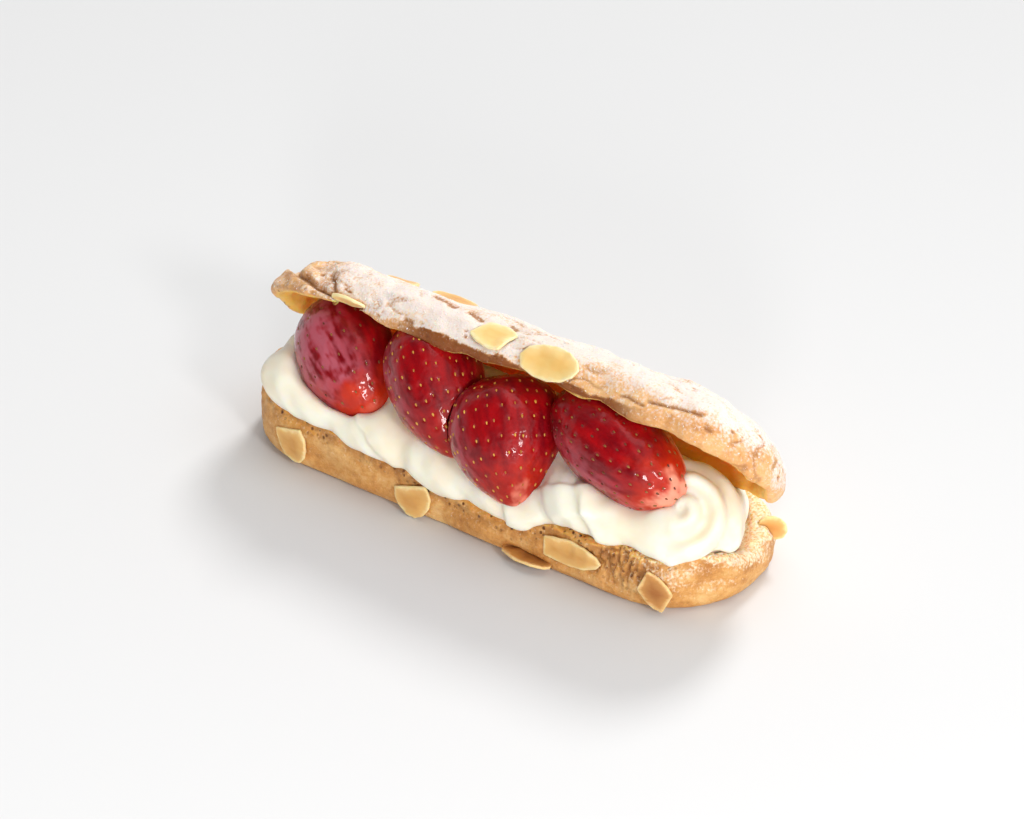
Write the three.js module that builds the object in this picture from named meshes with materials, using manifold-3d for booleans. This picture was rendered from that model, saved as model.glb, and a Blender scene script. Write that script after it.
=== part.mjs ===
// A choux eclair: a long bun baked with flaked almonds and split along its side, its base filled
// with piped cream and halved strawberries, its hollow lid leaning back on the filling.
// Units are millimetres. +X runs along the bun, -Y faces the open side and +Z is up. The origin
// is on the surface that the eclair rests on, under the middle of the bun.
import * as THREE from "three";
import { ImprovedNoise } from "three/addons/math/ImprovedNoise.js";
import { mergeVertices } from "three/addons/utils/BufferGeometryUtils.js";
import Module from "manifold-3d";

const wasm = await Module();
wasm.setup();
const perlin = new ImprovedNoise();
const { degToRad, smoothstep } = THREE.MathUtils;

// Driving dimensions. GAP is the clearance that pieces lying against each other keep, and WELD is
// how close two vertices are when they are one.
const GAP = 0.3;
const WELD = 1e-3;

// Baked crust has broad swells and smaller blisters, this far apart.
const CRUST = { swells: 12, blisters: 5 };

// Shares are of the half width, or of the half length for rightReach.
const BASE = {
  halfLength: 75,
  halfWidth: 24.4,
  rightReach: 0.955,
  columns: 72,
  underside: 0.9, // share that is flat
  wall: 0.2, // share
  rim: 15,
  floor: 8,
  frontDip: { x: 6, reach: 26, depth: 0.3 }, // where the filling has pressed the rim down
  leftRise: 0.12,
  rightRise: -0.32, // behind, while the front of the rim stays up
  relief: { swell: 1.5, blister: 0.9, tear: 1.8 },
};

const LID = {
  halfLength: 76.2,
  halfWidth: 20.5,
  rightSwell: 0.06, // how much fuller the right end is
  columns: 72,
  wall: 0.2, // share
  height: 14.5,
  ceiling: 10.5,
  centre: new THREE.Vector3(-0.4, 0, 31),
  tilt: 48, // degrees that the lid leans back, front lip up
  rightDroop: 3,
  leftTaper: 0.2,
  rightTaper: 0.12,
  lipWave: { height: 0.7, length: 57 },
  relief: { swell: 1.4, blister: 0.9 },
  // A slanting fold splits the left end in two, and the outer half lies lower by step.
  fold: {
    x: -73.5,
    slant: 1.1,
    width: 1.8,
    depth: 2.6,
    step: 2,
    inward: new THREE.Vector3(0, 0.5, -0.86),
  },
};

const CREAM = {
  halfLength: 67.5,
  halfWidth: 21.5,
  rightReach: 0.965,
  columns: 48,
  bottom: 8,
  shoulder: 14,
  crest: 31,
  leftDrop: 4, // of the crest
  rightDrop: 8, // of the crest, under the rosette
  lean: -2, // the crest lies in front of the bun's middle
};

// Piped lobes along the open side, left to right: middle, half length and height. A lobe is a drop
// whose ends are blunter the smaller its bluntness is.
const LOBES = [
  { x: -50, half: 17, z: 19.2 },
  { x: -28, half: 17, z: 15.8 },
  { x: -7, half: 15, z: 13.2 },
  { x: 14, half: 16, z: 12.8 },
  { x: 37, half: 15, z: 18.5 },
];
const LOBE = { y: -16.4, depth: 9.8, height: 7.5, slant: 10, bluntness: 0.6, columns: 14, rows: 9 };

// The first squeeze of the piping, at the left end.
const HEEL = { centre: new THREE.Vector3(-57, -4, 17), radius: 13 };

// The rosette that ends the piping at the right: a ball under a rope of cream that spirals out
// from the point that faces forwards and up.
const ROSETTE = {
  centre: new THREE.Vector3(53.2, -5.8, 14.2),
  radius: 15.5,
  facing: new THREE.Vector3(0.35, -0.57, 0.74).normalize(),
  rope: 3.3,
  pitch: 5.8,
  turns: 1.9,
  start: 163, // degrees
  stepsPerTurn: 14,
};

// Halved strawberries, left to right, lying cut face down on the slope of the filling. Each runs
// from its crown to its tip, narrowing evenly by its taper and, past its middle, by point. A
// negative roll lifts the edge that lies over its left neighbour.
const SLOPE = new THREE.Vector3(0, -0.757, 0.654);
const STRAWBERRIES = [
  {
    crown: [-59, -2.2, 35.6], tip: [-29.5, -17.2, 18.6],
    width: 26, depth: 11, taper: 0.15, point: 0.15, roll: -4,
  },
  {
    crown: [-28, -1.5, 40.5], tip: [-2.2, -20.3, 19.2],
    width: 24.5, depth: 12, taper: 0.26, point: 0.15, roll: -10,
  },
  {
    crown: [0, -5.8, 36.2], tip: [17.8, -23.8, 14.6],
    width: 28.5, depth: 12.5, taper: 0.24, point: 0.25, roll: -10,
  },
  {
    crown: [17.5, -4.8, 36.4], tip: [58, -13.8, 26.6],
    width: 23, depth: 12, taper: 0.06, point: 0, roll: -4,
  },
];
const STRAWBERRY_COLUMNS = 20;
const STRAWBERRY_ROWS = 14;
const STRAWBERRY_CLEAR = [4, 8, 12]; // how far out from the slope no cream hangs over a strawberry

// Flaked almonds. Bearing turns from the front (0) to the right end (90) and the back (180), and
// lift is the slope up, both as seen from a point inside the shell. Turn is in the plane of the
// flake, and tip is how far it is turned out of the crust about its length. Each chop is where the
// flake is snapped off: how far from its middle, and in which direction.
const FLAKE = { thickness: 0.8, bend: 26, curveSegments: 3, feeler: 3 };
const LID_FLAKES = [
  { x: 18.7, bearing: 0, lift: -1, length: 17, width: 9, turn: 4, tip: 0 },
  { x: 1, bearing: 0, lift: 4, length: 15, width: 8.5, turn: -6, tip: 0, chops: [[5.5, 165], [4.8, -8]] },
  { x: -42, bearing: 0, lift: -8, length: 11, width: 5.5, turn: 3, tip: 0 },
  { x: -23, bearing: 0, lift: 62, length: 13, width: 8, turn: 14, tip: 20 },
  { x: -41, bearing: 0, lift: 72, length: 12, width: 8, turn: -20, tip: 14 },
  { x: 30, bearing: 180, lift: 45, length: 15, width: 9.5, turn: 12, tip: 0 },
  { x: -22, bearing: 180, lift: 30, length: 14, width: 9, turn: -16, tip: 0 },
];
const BASE_FLAKES = [
  { x: -49, bearing: -8, lift: -1, length: 12.5, width: 9.5, turn: -62, tip: 0, chops: [[3.4, 165]] },
  { x: -13.5, bearing: 0, lift: -4, length: 12.5, width: 11, turn: -80, tip: 0, chops: [[2.6, 188]] },
  { x: 33, bearing: 0, lift: 0, length: 20, width: 7.2, turn: 2, tip: 0, chops: [[6.5, 178]] },
  { x: 52, bearing: 14, lift: -4, length: 13, width: 7.5, turn: -48, tip: 0, chops: [[4, 24], [4.2, -156]] },
  { x: 50, bearing: 124, lift: 1.5, length: 7.5, width: 6, turn: 84, tip: -75 },
  { x: 21.5, bearing: 0, lift: -13, length: 15, width: 7.5, turn: 2, tip: 50 },
  { x: 34, bearing: 180, lift: 2, length: 15, width: 9, turn: -10, tip: 0 },
  { x: -28, bearing: 180, lift: -4, length: 13, width: 8.5, turn: 18, tip: 0 },
];

const COLOURS = {
  crust: 0xc98d4e,
  lid: 0xe6c9a4,
  cream: 0xf6ecd2,
  strawberry: 0xa81720,
  almond: 0xeec27f,
};

// A closed geometry as a manifold solid, with shared vertices merged and collapsed faces dropped.
function solidFrom(geometry, matrix = new THREE.Matrix4()) {
  const bare = geometry.clone().applyMatrix4(matrix);
  bare.deleteAttribute("normal");
  bare.deleteAttribute("uv");
  const merged = mergeVertices(bare, WELD);
  const triVerts = [];
  for (let i = 0; i < merged.index.count; i += 3) {
    const [a, b, c] = merged.index.array.slice(i, i + 3);
    if (a !== b && b !== c && c !== a) triVerts.push(a, b, c);
  }
  return new wasm.Manifold(
    new wasm.Mesh({
      numProp: 3,
      vertProperties: merged.attributes.position.array,
      triVerts: new Uint32Array(triVerts),
    }),
  );
}

// A manifold solid as a geometry, ready for a mesh.
function geometryFrom(solid) {
  const { numProp, vertProperties, triVerts } = solid.getMesh();
  const position = new Float32Array((vertProperties.length / numProp) * 3);
  for (let i = 0; i < position.length / 3; i++) {
    position.set(vertProperties.subarray(i * numProp, i * numProp + 3), i * 3);
  }
  const geometry = new THREE.BufferGeometry();
  geometry.setAttribute("position", new THREE.BufferAttribute(position, 3));
  geometry.setIndex(new THREE.BufferAttribute(triVerts, 1));
  geometry.computeVertexNormals();
  return geometry;
}

// A solid moved to its place.
function placed(solid, place) {
  return solid.transform(place.elements);
}

// The biggest body of a solid, so that a cut leaves no loose scrap.
function largestPiece(solid) {
  return solid.decompose().sort((a, b) => b.volume() - a.volume())[0];
}

// Moves each vertex of a geometry by what move(point) does to it.
function reshape(geometry, move) {
  const { position } = geometry.attributes;
  const point = new THREE.Vector3();
  for (let i = 0; i < position.count; i++) {
    move(point.fromBufferAttribute(position, i), i);
    position.setXYZ(i, point.x, point.y, point.z);
  }
  return geometry;
}

// Moves each vertex along its normal, by what relief(point) gives.
function roughen(geometry, relief) {
  geometry.deleteAttribute("normal");
  geometry.deleteAttribute("uv");
  const rough = mergeVertices(geometry, WELD);
  rough.computeVertexNormals();
  const outward = new THREE.Vector3();
  return reshape(rough, (point, i) => {
    outward.fromBufferAttribute(rough.attributes.normal, i);
    point.addScaledVector(outward, relief(point));
  });
}

// Where the outline of a round-ended plan is, at a share of the way round from its right tip:
// the nearest point of its spine, and the direction from there out to the outline.
function stadiumAt(share, spineHalf, radius) {
  const quarter = (Math.PI * radius) / 2;
  const straight = 2 * spineHalf;
  const round = 4 * quarter + 2 * straight;
  const front = share > 0.5;
  const along = (front ? 1 - share : share) * round;
  const side = front ? -1 : 1;
  if (along < quarter) {
    const angle = along / radius;
    return { spine: spineHalf, dx: Math.cos(angle), dy: side * Math.sin(angle) };
  }
  if (along < quarter + straight) {
    return { spine: spineHalf - (along - quarter), dx: 0, dy: side };
  }
  const angle = Math.PI / 2 + (along - quarter - straight) / radius;
  return { spine: -spineHalf, dx: Math.cos(angle), dy: side * Math.sin(angle) };
}

// A lathe drawn out along X. Its profile holds shares of the half width and heights, and runs from
// the middle of the underside, round the outside, to the middle of the top.
function drawnLathe(profile, { halfLength, halfWidth, columns }) {
  const geometry = new THREE.LatheGeometry(profile, columns);
  const rows = profile.length;
  return reshape(geometry, (point, i) => {
    const { x: share, y: height } = profile[i % rows];
    const turn = Math.floor(i / rows) / columns;
    const { spine, dx, dy } = stadiumAt(turn, halfLength - halfWidth, halfWidth);
    point.set(spine + share * halfWidth * dx, share * halfWidth * dy, height);
  });
}

// Noise between -1 and 1 that varies over about a wavelength.
function noiseAt(point, wavelength) {
  return perlin.noise(point.x / wavelength, point.y / wavelength, point.z / wavelength);
}

function crustRelief(point, { swell, blister }) {
  return swell * noiseAt(point, CRUST.swells) + blister * noiseAt(point, CRUST.blisters);
}

// The base is a boat of crust, with a torn rim and a dish for the cream.
function baseGeometry() {
  const { halfLength, rightReach, underside, wall, rim, floor, frontDip, relief } = BASE;
  const inner = 1 - wall;
  const outline = new THREE.Path();
  outline.moveTo(0, 0).lineTo(underside, 0);
  outline.bezierCurveTo(1, 0, 1.04, 0.22 * rim, 1, 0.55 * rim);
  outline.quadraticCurveTo(0.99, 0.92 * rim, 0.94, rim);
  outline.quadraticCurveTo(inner + 0.06, rim + 0.6, inner, 0.9 * rim);
  outline.lineTo(inner - 0.1, floor).lineTo(0, floor);

  const drawn = drawnLathe(outline.getPoints(4), BASE);
  const rough = roughen(drawn, (point) => {
    const clear = smoothstep(point.z, 0.4, 3.5); // the underside stays flat
    const torn = smoothstep(point.z, 0.75 * rim, rim) * noiseAt(point, 1.6 * CRUST.blisters);
    return clear * (crustRelief(point, relief) + relief.tear * torn);
  });
  return reshape(rough, (point) => {
    const high = smoothstep(point.z, 3, rim);
    const ends = smoothstep(Math.abs(point.x), 0.5 * halfLength, halfLength);
    const rise = ends * (point.x < 0 ? BASE.leftRise : BASE.rightRise * smoothstep(point.y, -16, 0));
    const front = smoothstep(-point.y, 4, 14);
    const dip = front * Math.exp(-(((point.x - frontDip.x) / frontDip.reach) ** 2));
    point.z *= 1 + high * (rise - frontDip.depth * dip);
    if (point.x > 0) point.x *= rightReach;
  });
}

// The lid is a hollow dome with a rounded lip, made with its lip at z = 0.
function lidGeometry() {
  const { halfLength, rightSwell, wall, height, ceiling, rightDroop, lipWave, relief, fold } = LID;
  const inner = 1 - wall;
  const outline = new THREE.Path();
  outline.moveTo(0, ceiling);
  outline.bezierCurveTo(0.5, ceiling, inner - 0.06, 0.75 * ceiling, inner, 0.3 * ceiling);
  outline.quadraticCurveTo(inner + 0.02, 0, 0.9, -0.4);
  outline.quadraticCurveTo(1, 0, 1, 0.2 * height);
  outline.bezierCurveTo(1, 0.62 * height, 0.72, height, 0, height);

  const drawn = drawnLathe(outline.getPoints(4), LID);
  const rough = roughen(drawn, (point) => crustRelief(point, relief));
  return reshape(rough, (point) => {
    const folded = smoothstep(point.z, -1, 4) * smoothstep(-point.y, -8, 2);
    const fromFold = (point.x + fold.slant * point.y - fold.x) / Math.hypot(1, fold.slant);
    const crease = fold.depth * Math.exp(-((fromFold / fold.width) ** 2));
    const step = fold.step * smoothstep(-fromFold, 0, fold.width);
    point.addScaledVector(fold.inward, folded * (crease + step));

    const along = point.x / halfLength;
    const taper = along < 0 ? LID.leftTaper : LID.rightTaper;
    const swell = 1 + rightSwell * along;
    const lip = 1 - smoothstep(point.z, 0, 0.5 * height);
    const wave = lipWave.height * Math.sin((2 * Math.PI * point.x) / lipWave.length);
    point.y *= swell * (1 - taper * smoothstep(Math.abs(along), 0.55, 1));
    point.z = swell * point.z + lip * wave - rightDroop * smoothstep(along, 0.6, 1);
  });
}

// Half a strawberry in the bun's frame, larger all round by grow.
function strawberrySolid({ crown, tip, width, depth, taper, point: pointed, roll }, grow = 0) {
  const start = new THREE.Vector3(...crown);
  const axis = new THREE.Vector3(...tip).sub(start);
  const halfLength = axis.length() / 2;
  const middle = start.addScaledVector(axis, 0.5);
  axis.normalize();
  const side = SLOPE.clone().cross(axis).normalize();
  const outward = axis.clone().cross(side);
  const frame = new THREE.Matrix4().makeBasis(axis, side, outward).setPosition(middle);
  frame.multiply(new THREE.Matrix4().makeRotationX(degToRad(roll)));

  const berry = new THREE.SphereGeometry(1, STRAWBERRY_COLUMNS, STRAWBERRY_ROWS);
  berry.rotateZ(-Math.PI / 2); // its poles are the crown and the tip
  reshape(berry, (point) => {
    const girth = 1 - taper * point.x - pointed * Math.max(point.x, 0) ** 2;
    point.x *= halfLength + grow;
    point.y *= (girth * width) / 2 + grow;
    point.z *= girth * depth + grow;
  });
  const knife = new THREE.BoxGeometry(4 * halfLength, 4 * width, 4 * depth);
  knife.translate(0, 0, -2 * depth - grow);
  return solidFrom(berry, frame).subtract(solidFrom(knife, frame));
}

// The mound that the piping builds up.
function creamCore() {
  const { rightReach, bottom, shoulder, crest, leftDrop, rightDrop, lean } = CREAM;
  const outline = new THREE.Path();
  outline.moveTo(0, bottom).lineTo(0.7, bottom + 0.5);
  outline.quadraticCurveTo(0.96, bottom + 1, 1, shoulder);
  outline.bezierCurveTo(0.94, 0.52 * crest, 0.48, crest, 0, crest);
  const mound = reshape(drawnLathe(outline.getPoints(4), CREAM), (point) => {
    const high = smoothstep(point.z, shoulder, crest);
    point.y += lean * high;
    point.z -= high * (leftDrop * smoothstep(-point.x, 30, 55) + rightDrop * smoothstep(point.x, 20, 55));
    if (point.x > 0) point.x *= rightReach;
  });
  return solidFrom(mound);
}

function creamLobe({ x, half, z }) {
  const lobe = new THREE.SphereGeometry(1, LOBE.columns, LOBE.rows);
  reshape(lobe, (point) => {
    point.x = Math.sign(point.x) * Math.abs(point.x) ** LOBE.bluntness;
  });
  lobe.scale(half, LOBE.depth, LOBE.height);
  const place = new THREE.Matrix4().makeRotationY(degToRad(LOBE.slant));
  place.setPosition(x, LOBE.y, z);
  return solidFrom(lobe, place);
}

function creamBall({ centre, radius }) {
  const ball = new THREE.SphereGeometry(radius, LOBE.columns, LOBE.rows);
  return solidFrom(ball.translate(centre.x, centre.y, centre.z));
}

// The rope of the rosette, its inner end sunk in the ball.
function creamSwirl() {
  const { centre, radius, facing, rope, pitch, turns, start, stepsPerTurn } = ROSETTE;
  const right = new THREE.Vector3(0, 0, 1).cross(facing).normalize();
  const up = facing.clone().cross(right);
  const steps = Math.round(stepsPerTurn * turns);
  const points = [];
  for (let step = 0; step <= steps; step++) {
    const turned = step / stepsPerTurn;
    const angle = degToRad(start - 360 * turned);
    const reach = pitch * turned;
    const height = Math.sqrt(radius ** 2 - reach ** 2) - rope * Math.exp(-4 * turned);
    const point = centre.clone().addScaledVector(facing, height);
    point.addScaledVector(right, reach * Math.cos(angle));
    points.push(point.addScaledVector(up, reach * Math.sin(angle)));
  }
  const section = new THREE.Shape().absarc(0, 0, rope, 0, 2 * Math.PI);
  const tube = new THREE.ExtrudeGeometry(section, {
    steps,
    curveSegments: 4,
    extrudePath: new THREE.CatmullRomCurve3(points),
  });
  return solidFrom(tube);
}

// A flaked almond: a pointed oval slice, a little bent and larger all round by grow, lying in its own
// XY plane.
function flakeSolid({ length, width, chops = [] }, grow = 0) {
  const half = length / 2 + grow;
  const side = width / 2 + grow;
  const outline = new THREE.Shape();
  outline.moveTo(-half, 0);
  outline.bezierCurveTo(-half, -0.8 * side, -0.35 * half, -side, 0.1 * half, -side);
  outline.bezierCurveTo(0.55 * half, -side, half, -0.45 * side, half, 0);
  outline.bezierCurveTo(half, 0.45 * side, 0.55 * half, side, 0.1 * half, side);
  outline.bezierCurveTo(-0.35 * half, side, -half, 0.8 * side, -half, 0);
  const slab = new THREE.ExtrudeGeometry(outline, {
    depth: FLAKE.thickness + 2 * grow,
    curveSegments: FLAKE.curveSegments,
    bevelEnabled: false,
  });
  slab.translate(0, 0, -FLAKE.thickness / 2 - grow);
  reshape(slab, (point) => {
    point.z -= point.y ** 2 / (2 * FLAKE.bend);
  });
  return chops.reduce((rest, [away, direction]) => {
    const knife = new THREE.BoxGeometry(length, 4 * width, width);
    knife.translate(away + grow + length / 2, 0, 0).rotateZ(degToRad(direction));
    return rest.subtract(solidFrom(knife));
  }, solidFrom(slab));
}

// Where a flake lies: flat on the crust, as feelers from outside find it.
function flakePlace(flake, crust, height) {
  const bearing = degToRad(flake.bearing);
  const lift = degToRad(flake.lift);
  const inward = new THREE.Vector3(
    -Math.sin(bearing) * Math.cos(lift),
    Math.cos(bearing) * Math.cos(lift),
    -Math.sin(lift),
  );
  const along = new THREE.Vector3(Math.cos(bearing), Math.sin(bearing), 0);
  const across = along.clone().cross(inward);
  const mesh = new THREE.Mesh(crust);
  const feel = (alongBy, acrossBy) => {
    const origin = new THREE.Vector3(flake.x, 0, height).addScaledVector(inward, -2 * BASE.halfWidth);
    origin.addScaledVector(along, alongBy).addScaledVector(across, acrossBy);
    return new THREE.Raycaster(origin, inward).intersectObject(mesh)[0].point;
  };
  const reach = FLAKE.feeler;
  const length = feel(reach, 0).sub(feel(-reach, 0)).normalize();
  const width = feel(0, reach).sub(feel(0, -reach));
  const outward = length.clone().cross(width).normalize();
  const frame = new THREE.Matrix4().makeBasis(length, outward.clone().cross(length), outward);
  frame.multiply(new THREE.Matrix4().makeRotationZ(degToRad(flake.turn)));
  frame.multiply(new THREE.Matrix4().makeRotationX(degToRad(flake.tip)));
  return frame.setPosition(feel(0, 0).addScaledVector(outward, FLAKE.thickness / 2));
}

// A solid with each of the rooms cut out of it.
function cutRooms(solid, rooms) {
  return largestPiece(rooms.reduce((rest, room) => rest.subtract(room), solid));
}

// The crust with the room for each flake that is baked into it, and the flakes' places.
function setFlakes(crust, flakes, height) {
  const places = flakes.map((flake) => flakePlace(flake, crust, height));
  const rooms = flakes.map((flake, i) => placed(flakeSolid(flake, GAP), places[i]));
  return { solid: cutRooms(solidFrom(crust), rooms), places, rooms };
}

function named(name, geometry, colour, roughness) {
  const material = new THREE.MeshStandardMaterial({ color: colour, roughness, metalness: 0 });
  const mesh = new THREE.Mesh(geometry, material);
  mesh.name = name;
  return mesh;
}

function flakeMeshes(prefix, flakes, places) {
  return flakes.map((flake, i) => {
    const mesh = named(`${prefix}_${i + 1}`, geometryFrom(flakeSolid(flake)), COLOURS.almond, 0.55);
    mesh.applyMatrix4(places[i]);
    return mesh;
  });
}

const eclair = new THREE.Group();
const lid = new THREE.Group();
lid.position.copy(LID.centre);
lid.rotation.x = -degToRad(LID.tilt);
lid.updateMatrix();
eclair.add(lid);

const base = setFlakes(baseGeometry(), BASE_FLAKES, BASE.floor);
eclair.add(named("choux_base", geometryFrom(base.solid), COLOURS.crust, 0.6));
eclair.add(...flakeMeshes("base_almond", BASE_FLAKES, base.places));

const top = setFlakes(lidGeometry(), LID_FLAKES, 0.3 * LID.height);
lid.add(named("choux_lid", geometryFrom(top.solid), COLOURS.lid, 0.75));
lid.add(...flakeMeshes("lid_almond", LID_FLAKES, top.places));

// Each strawberry tucks under the next one to its right, and all of them under the lid.
const lidRoom = solidFrom(roughen(lidGeometry(), () => GAP), lid.matrix);
const baseRoom = solidFrom(roughen(baseGeometry(), () => GAP));
const berryRooms = STRAWBERRIES.map((berry) => strawberrySolid(berry, GAP));
STRAWBERRIES.forEach((berry, i) => {
  const half = cutRooms(strawberrySolid(berry), [lidRoom, ...berryRooms.slice(i + 1)]);
  eclair.add(named(`strawberry_${i + 1}`, geometryFrom(half), COLOURS.strawberry, 0.2));
});

const squeezes = [creamBall(HEEL), ...LOBES.map(creamLobe), creamBall(ROSETTE), creamSwirl()];
const piping = squeezes.reduce((mound, squeeze) => mound.add(squeeze), creamCore());
const clearings = STRAWBERRY_CLEAR.flatMap((away) => {
  const outwards = new THREE.Matrix4().makeTranslation(SLOPE.clone().multiplyScalar(away));
  return berryRooms.map((room) => placed(room, outwards));
});
const cream = cutRooms(piping, [baseRoom, lidRoom, ...base.rooms, ...berryRooms, ...clearings]);
eclair.add(named("cream", geometryFrom(cream), COLOURS.cream, 0.45));

const extent = new THREE.Box3().setFromObject(eclair, true);
const middle = extent.getCenter(new THREE.Vector3());
eclair.position.set(-middle.x, -middle.y, -extent.min.z);

export default eclair;
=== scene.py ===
"""The looks of a choux eclair: baked crust, piped cream, glazed strawberries, almonds and sugar.

Each solid of the frame is replaced by a finer piece of the same form. Lengths are in metres, +X runs
along the bun, -Y faces its open side and +Z is up.
"""

import logging
import math
from abc import ABC, abstractmethod
from collections.abc import Sequence
from dataclasses import dataclass
from enum import Enum
from functools import reduce

import bmesh
import bpy
import numpy as np
from mathutils import Matrix, Vector, kdtree, noise


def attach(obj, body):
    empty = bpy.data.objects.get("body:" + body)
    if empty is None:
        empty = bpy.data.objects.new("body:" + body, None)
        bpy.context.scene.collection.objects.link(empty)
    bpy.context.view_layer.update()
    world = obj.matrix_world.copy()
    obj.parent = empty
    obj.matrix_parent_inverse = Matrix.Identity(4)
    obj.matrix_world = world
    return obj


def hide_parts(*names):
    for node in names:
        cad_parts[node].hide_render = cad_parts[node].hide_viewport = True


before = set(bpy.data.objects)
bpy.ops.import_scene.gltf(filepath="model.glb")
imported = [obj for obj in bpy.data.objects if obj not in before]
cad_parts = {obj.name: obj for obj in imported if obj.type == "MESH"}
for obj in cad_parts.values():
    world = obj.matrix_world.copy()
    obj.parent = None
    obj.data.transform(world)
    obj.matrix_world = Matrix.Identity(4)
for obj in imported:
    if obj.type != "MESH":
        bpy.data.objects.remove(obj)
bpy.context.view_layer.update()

log = logging.getLogger("eclair")

MM = 0.001
BODY = "root"

# Corners of loose triangles are one where they are closer than this.
WELD = 1e-6

# Where the middle of the bun lies in the part's frame.
BUN = Vector((0.61, 1.14, 0)) * MM

Colour = tuple[float, float, float, float]


class Slot(Enum):
    """Names for the material slots."""

    CRUST = "crust"
    DUSTED_CRUST = "dusted_crust"
    CREAM = "cream"
    STRAWBERRY = "strawberry"
    ALMOND = "almond"


class Trait(Enum):
    """Values that a piece carries at each vertex, from 0 to 1, for its finish to read."""

    DUST = "dust"
    CRUMB = "crumb"
    # Painted shade: darker colour in cracks, splits, grooves and holes, and along the band under the
    # cream, partly browned crust there.
    PIT_SHADE = "pit_shade"
    PORES = "pores"
    STAIN = "stain"
    BLUSH = "blush"
    PALE = "pale"
    FLESH = "flesh"
    # Painted reflection: where the glaze's pinkish sheen is painted on.
    REFLECTED_HAZE = "reflected_haze"
    HEART = "heart"


class AlmondTone(Enum):
    """How dark an almond is: mostly how far the oven has coloured it, and for some flakes painted shade.
    """

    PALE = "pale"
    GOLDEN = "golden"
    BROWN = "brown"


def srgb(red: int, green: int, blue: int) -> Colour:
    """Turns a screen colour into the linear one that shaders take.

    Args:
        red, green, blue: Screen values from 0 to 255.

    Returns:
        The linear colour, with full alpha.
    """
    def linear(value: int) -> float:
        """One channel, by the sRGB curve."""
        share = value / 255
        return share / 12.92 if share <= 0.04045 else ((share + 0.055) / 1.055) ** 2.4

    return linear(red), linear(green), linear(blue), 1.0


def smoothstep(values: np.ndarray, low: float, high: float) -> np.ndarray:
    """Eases values from 0 at low to 1 at high."""
    share = np.clip((values - low) / (high - low), 0, 1)
    return share * share * (3 - 2 * share)


def ripple(points: np.ndarray, size: float | Sequence[float], octaves: int = 1) -> np.ndarray:
    """Smooth noise at points, about -1 to 1, with ripples of one size or of one for each axis."""
    scaled = (points / np.array(size)).tolist()
    return np.array([noise.fractal(point, 1.0, 2.0, octaves) for point in scaled])


def cells(points: np.ndarray, size: float | Sequence[float]) -> np.ndarray:
    """How far points are from the nearest middle of irregular cells, in cell widths."""
    scaled = (points / np.array(size)).tolist()
    return np.array([noise.voronoi(point)[0][0] for point in scaled])


def search_tree(points: np.ndarray) -> kdtree.KDTree:
    """Sets points up for a quick search.

    Args:
        points: One point a row.

    Returns:
        A tree that finds the nearest of them.
    """
    tree = kdtree.KDTree(len(points))
    for index, point in enumerate(points.tolist()):
        tree.insert(point, index)
    tree.balance()
    return tree


def distances(points: np.ndarray, targets: np.ndarray) -> np.ndarray:
    """How far each point is from the nearest of the targets."""
    tree = search_tree(targets)
    return np.array([tree.find(point)[2] for point in points.tolist()])


def put(name: str, data: bpy.types.ID) -> bpy.types.Object:
    """Puts a mesh, a lamp or a camera in the scene.

    Args:
        name: The object's name.
        data: What the object holds.

    Returns:
        The object.
    """
    holder = bpy.data.objects.new(name, data)
    bpy.context.scene.collection.objects.link(holder)
    return holder


def mesh_of(name: str, shape: bmesh.types.BMesh) -> bpy.types.Mesh:
    """Turns a bmesh into a mesh and frees it.

    Args:
        name: The mesh's name.
        shape: The bmesh.

    Returns:
        The mesh.
    """
    mesh = bpy.data.meshes.new(name)
    shape.to_mesh(mesh)
    shape.free()
    return mesh


def rows(items: bpy.types.bpy_prop_collection, key: str) -> np.ndarray:
    """Reads a vector from each vertex or normal of a mesh.

    Args:
        items: The vertices or normals.
        key: The vector's name.

    Returns:
        One vector a row.
    """
    flat = np.empty(3 * len(items), np.float32)
    items.foreach_get(key, flat)
    return flat.reshape(-1, 3).astype(float)


def moved(points: np.ndarray, matrix: Matrix) -> np.ndarray:
    """Points taken through a matrix."""
    table = np.array(matrix)
    return points @ table[:3, :3].T + table[:3, 3]


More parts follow.
